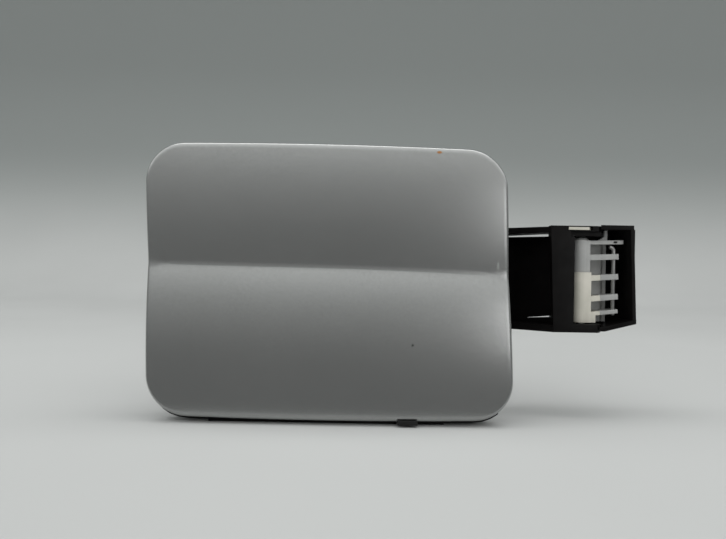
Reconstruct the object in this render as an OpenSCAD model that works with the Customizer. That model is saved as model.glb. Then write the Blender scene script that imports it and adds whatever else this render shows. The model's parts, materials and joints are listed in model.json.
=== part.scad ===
// Car fuel door: a pressed and hemmed skin on a moulded carrier, a gooseneck arm,
// and an open-fronted hinge box that is screwed to the car.
// Origin: middle of the two mounting holes, on the box flange's back face.
// +X runs from the door to the hinge, +Y into the car, +Z up. The outer face looks to -Y.

/* [Door] */
// Width of the door
door_w = 185; // [160:1:230]
// Height of the door
door_h = 138; // [120:1:170]
// Radius of the door's corners
corner_r = 20; // [12:1:28]
// Sideways lean of the door's ends, over its height
door_lean = 4.4; // [0:0.2:8]
// Outward bow of the top and bottom edges
edge_bow = 1.2; // [0.2:0.1:3]
// Fall of the top edge towards the hinge
top_fall = 1.2; // [0:0.1:3]
// Crown of the outer face from end to middle
face_crown = 1.5; // [0.5:0.1:2]
// Height of the crease above the door's middle
crease_z = 7.3; // [0:0.1:14]
// Fall of the crease towards the hinge
crease_fall = 1.6; // [0:0.1:4]
// Extra fall of the crease towards the hinge end
crease_droop = 2.2; // [0:0.1:4]
// Depth of the crease's soft corner
crease_soft = 1.1; // [0.5:0.1:3]
// Depth of the crease behind the door's front plane
crease_depth = 2.2; // [1:0.1:2.6]
// Angle of the face just above the crease
above_crease_deg = 5; // [1:1:8]
// Angle of the face just below the crease
below_crease_deg = 12; // [6:0.5:14]
// Angle of the face at the top and bottom edges
edge_deg = 4; // [1:1:6]

/* [Skin] */
// Thickness of the pressed sheet
skin_t = 0.8; // [0.6:0.1:1]
// Radius of the rolled edge
roll_r = 1.8; // [1.2:0.1:2.4]
// Depth of the hem's back face
hem_y = 7.5; // [7:0.5:10]
// Width of the hem's return
hem_w = 6.5; // [4:0.5:8]

/* [Carrier] */
// Thickness of the carrier's floor
floor_t = 1.4; // [1.2:0.1:1.6]
// Thickness of the carrier's walls and ribs
rib_t = 2; // [1.6:0.1:3]
// Distance of the carrier's wall from the door's outline
wall_inset = 9; // [8:0.5:14]
// Depth of the carrier's back edge
carrier_back = 20; // [18:0.5:26]
// Depth of the foot below the skin's lowest edge
foot_drop = 2.4; // [2.2:0.1:4]
// Length of the foot
foot_plate_len = 120; // [100:1:150]
// Thickness of the lower lip and foot
lip_t = 1.6; // [1.4:0.1:2.4]
// Front of the lower lip behind the door's front plane
lip_front = 3; // [2:0.5:5]
// Height of the lower lip's ends above the straight part of the lower edge
lip_ends = 2.5; // [1:0.5:5]
// Distance of the carrier's upright ribs from the door's middle
rib_x = [-42, 0, 56];
// Distance of the carrier's level ribs from the door's middle
rib_z = 30; // [28:1:32]
// Width of the edge clip
clip_w = 10; // [6:1:16]
// Place of the edge clip, from the door's middle
clip_x = 41; // [0:1:55]
// Height of the clip's lip over the face
clip_lip = 0.8; // [0.6:0.1:2]
// Thickness of the clip's walls
clip_t = 1.1; // [0.8:0.1:1.6]

/* [Hinge place] */
// Hinge axis to the door's middle
hinge_reach = 138; // [135:1:170]
// Hinge axis behind the door's front plane
axis_depth = 28.5; // [26:0.5:34]
// Hinge axis to the mounting holes
flange_reach = 33.5; // [33.5:0.5:36]
// Box flange's back face behind the hinge axis
back_depth = 23.7; // [22:0.1:30]
// Door's middle below the mounting holes' middle
door_drop = 4.6; // [-5:0.1:10]

/* [Arm] */
// Top of the arm above the mounting holes' middle
arm_top = 26.3; // [24:0.1:32]
// Height of the arm
arm_h = 57; // [52:0.5:70]
// Thickness of the arm's web
web_t = 2.6; // [2:0.1:3.6]
// Distance from the hinge axis to the gooseneck's leg
leg_reach = 57.9; // [52:0.1:62]
// Mid-line radius of the gooseneck
goose_r = 16; // [15:0.5:17]
// Thickness of the upper flange
top_flange_t = 3.2; // [2.4:0.1:4]
// Thickness of the lower flange
low_flange_t = 3.6; // [2:0.1:5]
// Height of the upper relief slit at the post
top_slit = 1.5; // [1:0.1:3]
// Length of the upper relief slit
top_slit_len = 22; // [16:1:24]
// Height of the lower relief slit at the post
low_slit = 0.95; // [0.8:0.05:2]
// Length of the lower relief slit
low_slit_len = 10.3; // [8:0.1:14]
// Height of the lower relief slit above the arm's bottom
low_slit_z = 7.7; // [5.5:0.1:9]
// Fall of the lower relief slit over its length
low_slit_fall = 1.6; // [0:0.1:2]
// Width of the post at half height
post_w = 11.8; // [8:0.1:14]
// Sideways lean of the post's free edge over its height
post_lean = 2.2; // [0:0.1:3]
// Rise of the post and ears over the arm's flange
ear_rise = 0.6; // [0.2:0.1:1]
// Post's front face in front of the hinge axis
post_front_d = 8.5; // [7:0.1:9]
// Depth of the post
post_d = 4; // [3:0.5:6]
// Outer radius of the ears
ear_r = 10.6; // [9.5:0.1:10.8]
// Thickness of the upper ear
top_ear_t = 5.3; // [4.8:0.1:8]
// Thickness of the lower ear
low_ear_t = 4.3; // [3:0.1:7]
// Thickness of the upper ear's front edge
ear_lip_t = 2.9; // [2.6:0.1:4]
// Set-back of the upper ear's boss behind its front edge
boss_back = 2.2; // [0.5:0.1:3]
// Length of the arm's foot plate
foot_len = 44; // [36:1:60]
// Thickness of the arm's foot plate
foot_t = 2.8; // [2:0.1:4]
// Spacing of the arm's screws along the door
screw_dx = 28; // [22:1:40]
// Spacing of the arm's screws in height
screw_dz = 34; // [24:1:44]

/* [Pin] */
// Radius of the hinge pin
pin_r = 2.5; // [2:0.1:3]
// Radial clearance of the pin in the arm and barrel
pin_gap = 0.06; // [0.03:0.01:0.1]
// Radius of the pin's head
head_r = 4; // [3.2:0.1:5]
// Height of the pin's head
head_h = 1.6; // [1:0.1:2.5]
// Depth of the pin's locking groove
groove_d = 0.7; // [0.4:0.1:1]
// Height of the keeper that locks the pin
keeper_t = 1.8; // [1.2:0.1:2]
// Width of the keeper's window in the ear
keeper_w = 13; // [12:0.1:14]
// Wall above the keeper
keeper_roof = 0.5; // [0.5:0.1:1]
// Thickness of the thrust washers
thrust_t = 0.5; // [0.3:0.1:1.2]
// Outer radius of the thrust washers
thrust_r = 4.3; // [3.8:0.1:6]

/* [Box] */
// Width of the box from the hinge axis to its outer wall's face, at half height
box_reach = 26.3; // [25.8:0.1:27]
// Outward lean of the outer wall's foot over its height
wall_lean = 2; // [0:0.1:3]
// Radius kept free round the hinge axis
swing_r = 11.3; // [11:0.1:13]
// Top face of the box above the mounting holes' middle
box_top = 27.5; // [27.3:0.1:32]
// Thickness of the box's top, floor and back
box_t = 2.4; // [1.8:0.1:3]
// Thickness of the box's outer wall
side_t = 1.8; // [1.4:0.1:3]
// Height of the box at its open side
box_h = 57.4; // [57.4:0.1:70]
// Rise of the box's floor towards the outer wall
floor_rise = 4.3; // [0:0.1:8]
// Left end of the box's back wall, from the hinge axis
back_left = 4; // [0:0.5:8]
// Width of the mounting flange beyond the outer wall
wing_w = 13.4; // [12:0.1:20]
// Thickness of the mounting flange
wing_t = 3; // [2:0.1:5]
// Height spacing of the mounting holes
hole_dz = 34; // [28:1:44]
// Radius of the mounting holes, for an M6 screw
hole_r = 3.2; // [2.6:0.1:3.4]
// Wall of the metal sleeves in the mounting holes
sleeve_t = 0.9; // [0.6:0.1:1.4]

/* [Comb] */
// Radius of the comb's upper barrel
barrel_r = 4.3; // [3.8:0.1:5]
// Radius of the knuckle's barrel
knuckle_r = 4.9; // [4.2:0.1:5.5]
// Height of the joint between barrel and knuckle, from the mounting holes' middle
barrel_split = 2; // [-4:0.5:8]
// Reach of the tines from the hinge axis
tine_reach = 19.4; // [18.6:0.1:21]
// Front of the tines before the hinge axis
tine_front_d = 3.5; // [3:0.1:4.2]
// Front of the comb's back web behind the hinge axis
web_back = 6; // [5.2:0.1:8]
// Thickness of the middle tines
tine_t = 3; // [2.4:0.1:4]
// Thickness of the first and last tines
end_tine_t = 2.1; // [1.8:0.1:3]
// Height of the middle tine's centre, from the mounting holes' middle
tine_z = -0.9; // [-4:0.1:2]
// Pitch of the middle tines
tine_pitch = 11.2; // [9:0.1:12]
// Depth of the first tine below the barrel's top
first_tine_drop = 2.4; // [2:0.1:3]
// Height of the last tine above the knuckle's lower end
last_tine_lift = 5.3; // [4:0.1:6]
// Slant of a tine at the mounting holes' height
tine_slant = 4; // [0:0.5:6]
// Loss of slant from tine to tine, per millimetre of height
tine_fan = 0.14; // [0:0.01:0.2]
// Thickness of the comb's back web
comb_web_t = 2; // [1.4:0.1:3]
// Reach of the comb's back web from the hinge axis
comb_web_reach = 16.4; // [15:0.1:17]
// Place of the groove in the comb's back web
groove_x = 13.2; // [10:0.1:13.5]
// Width of the groove in the comb's back web
groove_w = 1.2; // [0.6:0.1:1.6]
// Width of the flat spine along the barrel and knuckle
spine_w = 2.7; // [2:0.1:3.4]
// Width of the comb's stem
stem_w = 7; // [5.5:0.5:8]
// Reach of the knuckle's short ribs
stub_reach = 9.6; // [8:0.1:12]
// Radius of the detent spring's wire
wire_r = 1.1; // [0.8:0.1:1.2]
// Place of the detent spring, from the hinge axis
wire_x = 17.6; // [16:0.1:17.8]

/* [Latch side] */
// Striker's place from the door's middle
striker_x = -70; // [-76:1:-60]
// Thickness of the striker's plate
striker_t = 1.6; // [1:0.1:2.5]
// Reach of the striker behind the carrier
striker_len = 15; // [10:0.5:20]
// Height of the striker's plate
striker_h = 34; // [28:1:44]
// Radius of the buffers
buffer_r = 5; // [3:0.5:7]
// Height of the buffers behind the carrier
buffer_h = 6; // [3:0.5:10]
// Buffers' distance above and below the door's middle
buffer_z = 44; // [30:1:50]
// Place of the cap holder, from the door's middle
holder_x = -24; // [-34:1:-10]
// Outer radius of the cap holder's cradle
holder_r = 13; // [9:0.5:18]
// Wall of the cap holder
holder_t = 2.4; // [1.6:0.1:3]
// Depth of the cap holder
holder_d = 16; // [8:0.5:22]

/* [Screws] */
// Radius of the screws' shanks
screw_r = 1.9; // [1.5:0.1:2.4]
// Radius of the screws' heads
screw_head_r = 4; // [3:0.1:5]
// Height of the screws' heads
screw_head_h = 2.2; // [1.6:0.1:3]
// Length of the screws
screw_len = 12; // [8:0.5:13]
// Radial clearance of screws and loose fits
fit_gap = 0.1; // [0.05:0.01:0.2]
// Gap between faces that move past each other
run_gap = 0.3; // [0.2:0.05:0.5]

/* [Hidden] */
$fn = 64;
over = 1;

// Main places
axis_x = -flange_reach;
axis_y = -back_depth;
door_x = axis_x - hinge_reach;
door_y = axis_y - axis_depth;
door_z = -door_drop;
arm_bottom = arm_top - arm_h;
foot_z = -door_h / 2 - edge_bow - foot_drop;

// Door outline
half_w = door_w / 2;
half_h = door_h / 2;
arc_steps = 7;
long_steps = 12;
short_steps = 7;
spine_scale_x = 0.07;
spine_scale_z = 0.985;

// Point of a rounded rectangle, by corner and angle, moved in by d
function corner_at(sx, sz, turn, d) =
    [sx * (half_w - corner_r) + (corner_r - d) * cos(turn),
     sz * (half_h - corner_r) + (corner_r - d) * sin(turn)];

// Points of one straight side between two ends, without its ends
function between(p, q, n) = [for (i = [1 : n - 1]) p + (q - p) * i / n];

// Rounded rectangle, moved in by d, from the upper hinge-side corner
function plain_ring(d) = concat(
    [for (i = [0 : arc_steps]) corner_at(1, 1, 90 * i / arc_steps, d)],
    between(corner_at(1, 1, 90, d), corner_at(-1, 1, 90, d), long_steps),
    [for (i = [0 : arc_steps]) corner_at(-1, 1, 90 + 90 * i / arc_steps, d)],
    between(corner_at(-1, 1, 180, d), corner_at(-1, -1, 180, d), short_steps),
    [for (i = [0 : arc_steps]) corner_at(-1, -1, 180 + 90 * i / arc_steps, d)],
    between(corner_at(-1, -1, 270, d), corner_at(1, -1, 270, d), long_steps),
    [for (i = [0 : arc_steps]) corner_at(1, -1, 270 + 90 * i / arc_steps, d)],
    between(corner_at(1, -1, 360, d), corner_at(1, 1, 0, d), short_steps));

// The real outline leans, and its long edges are bowed
function shaped(p) =
    [p[0] - door_lean * p[1] / door_h,
     p[1] + edge_bow * (p[1] / half_h) * (1 - pow(p[0] / half_w, 2))
          - top_fall * max(0, p[1] / half_h) * (0.5 + 0.5 * p[0] / half_w)];

function ring_at(d) = [for (p = plain_ring(d)) shaped(p)];

// Depth of the outer face at a point of the door
function crease_at(x) = crease_z - crease_fall * x / door_w
    - crease_droop * pow(max(0, x / half_w), 2);
function soft(h) = sqrt(h * h + crease_soft * crease_soft) - crease_soft;
function face_y(p) =
    let (h = p[1] - crease_at(p[0]),
         start = h > 0 ? tan(above_crease_deg) : tan(below_crease_deg),
         reach = h > 0 ? half_h - crease_z : half_h + crease_z)
    crease_depth + face_crown * pow(p[0] / half_w, 2) - start * soft(h)
    + (start + tan(edge_deg)) * h * h / (2 * reach);

// One loop of the face, moved from its ring towards the crease by share t
function to_crease(p, t) =
    let (x = p[0] * (1 - spine_scale_x * t),
         c = crease_at(x))
    [x, c + (p[1] - c) * (1 - spine_scale_z * t)];

function loop_3d(ring, back) = [for (p = ring) [p[0], face_y(p) + back, p[1]]];
function loop_flat(ring, y) = [for (p = ring) [p[0], y, p[1]]];
function face_loop(d, t, back) = loop_3d([for (p = ring_at(d)) to_crease(p, t)], back);

face_inset = 4;
face_shares = [1, 0.985, 0.95, 0.88, 0.78, 0.64, 0.48, 0.32, 0.16, 0];
roll_diag = 1 - cos(45);
ring_n = len(ring_at(0));

// The skin's loops, from the crease out to the hem, and back inside
skin_loops = concat(
    [for (t = face_shares) face_loop(face_inset, t, 0)],
    [face_loop(roll_r, 0, 0),
     face_loop(roll_r * roll_diag, 0, roll_r * roll_diag),
     face_loop(0, 0, roll_r),
     loop_flat(ring_at(0), hem_y - skin_t),
     loop_flat(ring_at(skin_t), hem_y),
     loop_flat(ring_at(hem_w), hem_y),
     loop_flat(ring_at(hem_w), hem_y - skin_t),
     loop_flat(ring_at(skin_t), hem_y - skin_t),
     face_loop(skin_t, 0, roll_r),
     face_loop(roll_r, 0, skin_t)],
    [for (i = [len(face_shares) - 1 : -1 : 0]) face_loop(face_inset, face_shares[i], skin_t)]);

// Triangles between loop k and loop k + 1
function band(k) = [for (i = [0 : ring_n - 1])
    let (j = (i + 1) % ring_n, a = k * ring_n, b = (k + 1) * ring_n)
    each [[a + i, b + j, b + i], [a + i, a + j, b + j]]];

// The flat loop at the crease is closed by rows that join its upper and lower points
first_low = -floor(short_steps / 2);
function upper_at(i) = (i + first_low + ring_n) % ring_n;
function lower_at(i) = (first_low - 1 - i + 2 * ring_n) % ring_n;
function cap(base, flip) = [for (i = [0 : ring_n / 2 - 2])
    let (a = base + upper_at(i), b = base + upper_at(i + 1),
         c = base + lower_at(i), d = base + lower_at(i + 1))
    each (flip ? [[a, b, d], [a, d, c]] : [[a, d, b], [a, c, d]])];

// Carrier
floor_y1 = hem_y - skin_t - fit_gap;
floor_y0 = floor_y1 - floor_t;
edge_gap = 0.6;
rib_back = carrier_back - 5;
boss_r = screw_r + 2.4;
boss_floor = 9;
lip_y0 = hem_y + 1;
lip_h = 1.9;
lip_top = -half_h + wall_inset + rib_t;
lip_rise = 2 * lip_t;
buffer_x = striker_x + 2;
striker_rim = 3;
eye_share = [0.35, 0.28];
buffer_stem_r = 2;
buffer_stem = 6;
rivet_r = 1.6;
rivet_head_r = 3;
rivet_head_h = 1.2;
rivet_z = 19;

// Flutter pads between the skin and the carrier
pad_r = 5;
pad_gap = 0.45;
pad_places = [[-52, 34], [34, 34], [-52, -42], [34, -42]];

// Arm, from the hinge axis
post_right = 2 - post_front_d;
post_left = post_right - post_w;
post_front = -post_front_d;
leg_left = -leg_reach;
half_web = web_t / 2;
// The slanted leg runs at 45 degrees past the axis, and ends behind the post
leg_gap = 8.7;
leg_turn = 45;
leg_side = [cos(leg_turn), sin(leg_turn)];
leg_end = [-leg_gap * cos(leg_turn), -leg_gap * sin(leg_turn)]
          + (leg_gap * sin(leg_turn) + post_front + post_d) / sin(leg_turn)
            * [-cos(leg_turn), sin(leg_turn)];
goose_x = leg_left + goose_r;
goose_y = (-leg_gap - goose_r - goose_x * leg_side[0]) / leg_side[1];
ear_top = arm_top + ear_rise;
ear_flat = ear_r - 2;
flange_front = [1, 2];
slit_x = post_left + 2.9;
far_side = goose_y + 2 * goose_r;
slit_share = [0.5, 0.4];
slit_roof = 0.05;
foot_y = carrier_back - axis_depth;
foot_left = leg_left - foot_len;
foot_h = screw_dz + 14;
arm_mid_z = arm_top - arm_h / 2;
near_screw = leg_left - 9.5;
arm_screw_x = [near_screw - screw_dx, near_screw];
arm_screw_z = [arm_mid_z - screw_dz / 2, arm_mid_z + screw_dz / 2];
washer_t = 1;
washer_r = screw_head_r + 1;
top_ear_z = ear_top - top_ear_t;
low_ear_z = arm_bottom + low_ear_t;

// Pin and keeper
keeper_z1 = ear_top - keeper_roof;
keeper_z0 = keeper_z1 - keeper_t;
keeper_right = pin_r + 0.5;
keeper_left = keeper_right - keeper_w;
keeper_back = pin_r + 2.4;
nose_right = 1.4;
nose_step = 2.2;
pin_bottom = arm_bottom + 0.2;
pin_top = ear_top - fit_gap;

// Barrel, comb and box, from the hinge axis
barrel_top = top_ear_z - run_gap - thrust_t;
knuckle_bottom = low_ear_z + run_gap + thrust_t;
tine_front = -tine_front_d;
web_y = web_back;
end_reach = tine_reach + 2.4;
tine_levels = [tine_z + tine_pitch, tine_z, tine_z - tine_pitch];
first_tine_z = barrel_top - first_tine_drop;
last_tine_z = knuckle_bottom + last_tine_lift;
comb_left = knuckle_r + run_gap;
wall_back = back_depth - wing_t;
wall_front = wall_back - box_t;
box_front = post_front;
box_bottom = box_top - box_h;
stem_x0 = 6;
stem_z = [-13, 8];
comb_screw_z = [-9, 4];
stem_x1 = stem_x0 + stem_w;
comb_screw_x = stem_x0 + stem_w / 2;
comb_screw_len = 10;
slope_start = swing_r - 1;
wire_y = tine_front + wire_r + 1.1;
wire_bend = 2.4;
dome_h = 1.4;
spine_x = 0.9;
spine_rise = 0.6;
knuckle_foot = knuckle_r + 2.4;
tine_eye_share = 0.55;
peg_x = 12.9;
peg_w = 1.6;
peg_d = 2.2;

module at_door() {
    translate([door_x, door_y, door_z]) children();
}

module at_axis() {
    translate([axis_x, axis_y, 0]) children();
}

// Plate in the door's plane, from depth y0 to y1
module door_plate(y0, y1) {
    translate([0, y1, 0]) rotate([90, 0, 0]) linear_extrude(height = y1 - y0) children();
}

// Block between two corners
module block(low, high) {
    translate(low) cube([for (i = [0 : 2]) high[i] - low[i]]);
}

// Round bar along Y, from depth y0 to y1
module bar_y(x, z, y0, y1, r) {
    translate([x, y1, z]) rotate([90, 0, 0]) cylinder(r = r, h = y1 - y0);
}

// Upright round bar on the hinge axis, from z0 to z1
module bar_z(z0, z1, r) {
    translate([0, 0, z0]) cylinder(r = r, h = z1 - z0);
}

// Screw along Y: the head's seat is at depth seat, and the head looks to side
module screw(x, z, seat, side, length) {
    translate([x, seat, z]) rotate([-90 * side, 0, 0]) difference() {
        union() {
            translate([0, 0, -length]) cylinder(r = screw_r, h = length);
            cylinder(r = screw_head_r, h = screw_head_h);
        }
        translate([0, 0, screw_head_h / 2])
            cylinder(r = screw_head_r / 2, h = screw_head_h, $fn = 6);
    }
}

module outer_skin() {
    last = len(skin_loops) - 1;
    points = [for (loop = skin_loops) each loop];
    faces = concat([for (k = [0 : last - 1]) each band(k)],
                   cap(0, false), cap(last * ring_n, true));
    color("silver") at_door() polyhedron(points = points, faces = faces, convexity = 8);
}

module carrier_wall() {
    door_plate(floor_y1 - over / 4, carrier_back) difference() {
        polygon(ring_at(wall_inset));
        polygon(ring_at(wall_inset + rib_t));
    }
}

module carrier_ribs() {
    intersection() {
        union() {
            for (x = rib_x)
                block([x - rib_t / 2, floor_y1 - over / 4, -half_h],
                      [x + rib_t / 2, rib_back, half_h]);
            for (z = [-rib_z, rib_z])
                block([-half_w, floor_y1 - over / 4, z - rib_t / 2],
                      [half_w, rib_back, z + rib_t / 2]);
        }
        door_plate(floor_y0, carrier_back) polygon(ring_at(wall_inset + rib_t / 2));
    }
}

// Plan of a lip that follows the door's lower edge, between two insets
module lip_plan(outer, inner) {
    intersection() {
        difference() {
            polygon(ring_at(outer));
            polygon(ring_at(inner));
        }
        translate([-door_w, -door_h]) square([2 * door_w, half_h + lip_ends]);
    }
}

// Lip round the skin's lower edge, and the flat foot that the door stands on
module carrier_lip() {
    half = foot_plate_len / 2;
    difference() {
        union() {
            door_plate(lip_front, lip_y0 + lip_t) lip_plan(-lip_h, -run_gap);
            door_plate(lip_y0, lip_y0 + lip_t) lip_plan(-lip_h, wall_inset + rib_t / 2);
            block([-half, lip_front, foot_z], [half, lip_y0 + lip_t, foot_z + lip_t]);
        }
        block([clip_x - clip_w / 2 - run_gap, lip_front - over, foot_z - over],
              [clip_x + clip_w / 2 + run_gap, lip_y0 + fit_gap, lip_top]);
    }
    block([-half, lip_y0, foot_z], [half, lip_y0 + lip_t, lip_top]);
    block([-half, lip_y0, foot_z], [half, carrier_back, foot_z + lip_t]);
    for (x = [-half, -half / 3, half / 3, half - rib_t])
        block([x, lip_y0, foot_z], [x + rib_t, carrier_back - lip_rise, lip_top]);
}

// Places of the carrier's bosses, from the door's middle
arm_bosses = [for (x = arm_screw_x, z = arm_screw_z) [x + hinge_reach, z + door_drop]];
striker_bosses = [for (s = [-1, 1]) [striker_x, s * (striker_h / 2 - 5)]];
holder_bosses = [for (s = [-1, 1]) [holder_x, s * rivet_z]];
buffer_bosses = [for (s = [-1, 1]) [buffer_x, s * buffer_z]];

module inner_carrier() {
    color([0.07, 0.07, 0.075]) at_door() difference() {
        union() {
            door_plate(floor_y0, floor_y1) polygon(ring_at(skin_t + edge_gap));
            carrier_wall();
            carrier_ribs();
            carrier_lip();
            for (p = concat(arm_bosses, striker_bosses, holder_bosses))
                bar_y(p[0], p[1], floor_y0, carrier_back, boss_r);
            for (p = buffer_bosses)
                bar_y(p[0], p[1], floor_y0, carrier_back, buffer_r);
        }
        for (p = concat(arm_bosses, striker_bosses))
            bar_y(p[0], p[1], boss_floor, carrier_back + over, screw_r + fit_gap);
        for (p = holder_bosses)
            bar_y(p[0], p[1], boss_floor, carrier_back + over, rivet_r + fit_gap);
        for (p = buffer_bosses)
            bar_y(p[0], p[1], boss_floor, carrier_back + over, buffer_stem_r + fit_gap);
    }
}

module flutter_pads() {
    color([0.2, 0.2, 0.21]) at_door() for (p = pad_places)
        bar_y(p[0], p[1], face_y([p[0], p[1] - pad_r * sign(p[1])]) + skin_t + pad_gap,
              floor_y0, pad_r);
}

// The clip's section in depth and height, round the skin's lower rim
module edge_clip() {
    rim_z = -half_h - edge_bow * (1 - pow(clip_x / half_w, 2));
    front = face_y([clip_x, rim_z + clip_lip]) - run_gap;
    back = hem_y + run_gap;
    color([0.05, 0.05, 0.05]) at_door() difference() {
        block([clip_x - clip_w / 2, front - clip_t, rim_z - run_gap - clip_t],
              [clip_x + clip_w / 2, lip_y0, rim_z + wall_inset - run_gap]);
        block([clip_x - clip_w, front, rim_z - run_gap],
              [clip_x + clip_w, back, rim_z + 2 * wall_inset]);
        block([clip_x - clip_w, front - 2 * clip_t, rim_z + clip_lip],
              [clip_x + clip_w, front + over, rim_z + 2 * wall_inset]);
    }
}

// Point of the slanted leg: s = 1 at its far side, -1 at its near side, far or near the post
function leg_point(s, at_bend) =
    (at_bend ? [goose_x, goose_y] + goose_r * leg_side : leg_end) + s * half_web * leg_side;

// Plan of the gooseneck's web: the leg on the foot, the bend, and the slanted leg
module goose_web() {
    far = 3 * goose_r;
    translate([leg_left - half_web, foot_y]) square([web_t, goose_y - foot_y + over / 4]);
    translate([goose_x, goose_y]) difference() {
        circle(r = goose_r + half_web);
        circle(r = goose_r - half_web);
        polygon([[0, 0], far * leg_side, [far, -far], [-far, -far], [-far, 0]]);
    }
    polygon([leg_point(1, true), leg_point(-1, true), leg_point(-1, false),
             leg_point(1, false)]);
}

// Plan of the flanges that close the gooseneck above and below, from the post's edge
module goose_flange(left) {
    far = 3 * goose_r;
    front = [goose_x, goose_y] + flange_front;
    translate([goose_x, goose_y]) difference() {
        circle(r = goose_r + half_web);
        polygon([[0, 0], far * leg_side, [far, -far], [-far, -far], [-far, 0]]);
    }
    polygon([[left, post_front], [post_right, post_front], leg_point(-1, false),
             leg_point(1, false), leg_point(1, true), front]);
    polygon([front - [over, over], [goose_x, goose_y + goose_r / 2],
             [leg_left - half_web, goose_y + over / 4], [leg_left - half_web, foot_y],
             [leg_left, goose_y - goose_r / 2]]);
}

// Plan of one ear, from the post's free edge round the hinge axis, with a flat front
module ear_plan(left) {
    intersection() {
        circle(r = ear_r);
        translate([-ear_r, post_front]) square(2 * ear_r);
    }
    translate([left, post_front]) square([-left, post_front_d + ear_flat]);
}

// Slit through the slanted leg: from the post, tapered, with its middle line falling
module relief_slit(z, height, length, fall, share) {
    end = height * share;
    translate([0, far_side, 0]) rotate([90, 0, 0]) linear_extrude(height = far_side - post_front - post_d)
        polygon([[slit_x, z - height / 2], [slit_x, z + height / 2],
                 [slit_x - length, z - fall + end / 2], [slit_x - length, z - fall - end / 2]]);
}

// The post, with its free edge leaning out towards the top
module arm_post() {
    translate([0, post_front + post_d, 0]) rotate([90, 0, 0]) linear_extrude(height = post_d)
        polygon([[post_left + post_lean / 2, arm_bottom], [post_right, arm_bottom],
                 [post_right, ear_top], [post_left - post_lean / 2, ear_top]]);
}

module keeper_window() {
    block([keeper_left, post_front - over, keeper_z0],
          [keeper_right, keeper_back, keeper_z1]);
}

module hinge_arm() {
    color([0.06, 0.06, 0.06]) at_axis() difference() {
        union() {
            translate([0, 0, arm_bottom]) linear_extrude(height = arm_h) goose_web();
            translate([0, 0, arm_top - top_flange_t])
                linear_extrude(height = top_flange_t) goose_flange(post_left);
            translate([0, 0, arm_bottom])
                linear_extrude(height = low_flange_t) goose_flange(post_left + post_lean / 2);
            arm_post();
            translate([0, 0, top_ear_z])
                linear_extrude(height = top_ear_t) ear_plan(post_left);
            translate([0, 0, arm_bottom])
                linear_extrude(height = low_ear_t) ear_plan(post_left + post_lean / 2);
            block([foot_left, foot_y, arm_mid_z - foot_h / 2],
                  [leg_left + web_t / 2, foot_y + foot_t, arm_mid_z + foot_h / 2]);
            arm_gussets();
        }
        relief_slit(arm_top - top_flange_t - top_slit / 2 - slit_roof, top_slit, top_slit_len,
                    0, slit_share[0]);
        relief_slit(arm_bottom + low_slit_z, low_slit, low_slit_len, low_slit_fall, slit_share[1]);
        keeper_window();
        block([post_right - boss_back, post_front - over, top_ear_z - over],
              [ear_r + over, post_front + boss_back, ear_top - ear_lip_t]);
        bar_z(arm_bottom - over, ear_top + over, pin_r + pin_gap);
        bar_z(arm_bottom - over, pin_bottom + head_h + fit_gap, head_r + 2 * fit_gap);
        for (x = arm_screw_x, z = arm_screw_z)
            bar_y(x, z, foot_y - over, foot_y + foot_t + over, screw_r + 2 * fit_gap);
    }
}

// Triangular ribs between the foot plate and the first leg
module arm_gussets() {
    reach = screw_dz / 2 - washer_r - rib_t;
    for (z = [-reach, 0, reach])
        translate([leg_left, foot_y + foot_t / 2, arm_mid_z + z - rib_t / 2])
            linear_extrude(height = rib_t)
                polygon([[0, 0], [0, goose_y - foot_y], [-goose_r, 0]]);
}

module arm_screws() {
    color("lightgray") at_axis() for (x = arm_screw_x, z = arm_screw_z)
        screw(x, z, foot_y + foot_t + washer_t, 1, screw_len);
}

module arm_washers() {
    color("lightgray") at_axis() for (x = arm_screw_x, z = arm_screw_z) difference() {
        bar_y(x, z, foot_y + foot_t, foot_y + foot_t + washer_t, washer_r);
        bar_y(x, z, foot_y, foot_y + foot_t + 2 * washer_t, screw_r + 2 * fit_gap);
    }
}

module hinge_pin() {
    color("lightgray") at_axis() difference() {
        union() {
            bar_z(pin_bottom, pin_top, pin_r);
            bar_z(pin_bottom, pin_bottom + head_h, head_r);
        }
        difference() {
            bar_z(keeper_z0, keeper_z1, pin_r + over);
            bar_z(keeper_z0 - over, keeper_z1 + over, pin_r - groove_d);
        }
    }
}

module pin_keeper() {
    fork = pin_r - groove_d + fit_gap;
    color([0.86, 0.83, 0.74]) at_axis() translate([0, 0, keeper_z0 + fit_gap])
        linear_extrude(height = keeper_t - 2 * fit_gap) difference() {
            polygon([[keeper_left + fit_gap, post_front + fit_gap],
                     [nose_right, post_front + fit_gap], [nose_right, post_front + nose_step],
                     [keeper_right - fit_gap, post_front + nose_step],
                     [keeper_right - fit_gap, keeper_back - fit_gap],
                     [keeper_left + fit_gap, keeper_back - fit_gap]]);
            circle(r = fork);
            translate([-fork, 0]) square([2 * fork, 2 * keeper_back]);
        }
}

module latch_striker() {
    plate_w = 2 * (boss_r + striker_rim);
    blade = striker_h / 5;
    eye = [striker_len * eye_share[0], striker_h * eye_share[1]];
    color("lightgray") at_door() difference() {
        union() {
            block([striker_x - plate_w / 2, carrier_back, -striker_h / 2],
                  [striker_x + plate_w / 2, carrier_back + striker_t, striker_h / 2]);
            block([striker_x - striker_t / 2, carrier_back, -blade],
                  [striker_x + striker_t / 2, carrier_back + striker_t + striker_len, blade]);
        }
        block([striker_x - over * 2, carrier_back + striker_len - eye[0] - striker_t, -eye[1] / 2],
              [striker_x + over * 2, carrier_back + striker_len - striker_t, eye[1] / 2]);
        for (p = striker_bosses)
            bar_y(p[0], p[1], carrier_back - over, carrier_back + striker_t + over,
                  screw_r + 2 * fit_gap);
    }
}

module striker_screws() {
    color("lightgray") at_door() for (p = striker_bosses)
        screw(p[0], p[1], carrier_back + striker_t, 1, screw_len - 2);
}

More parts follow.
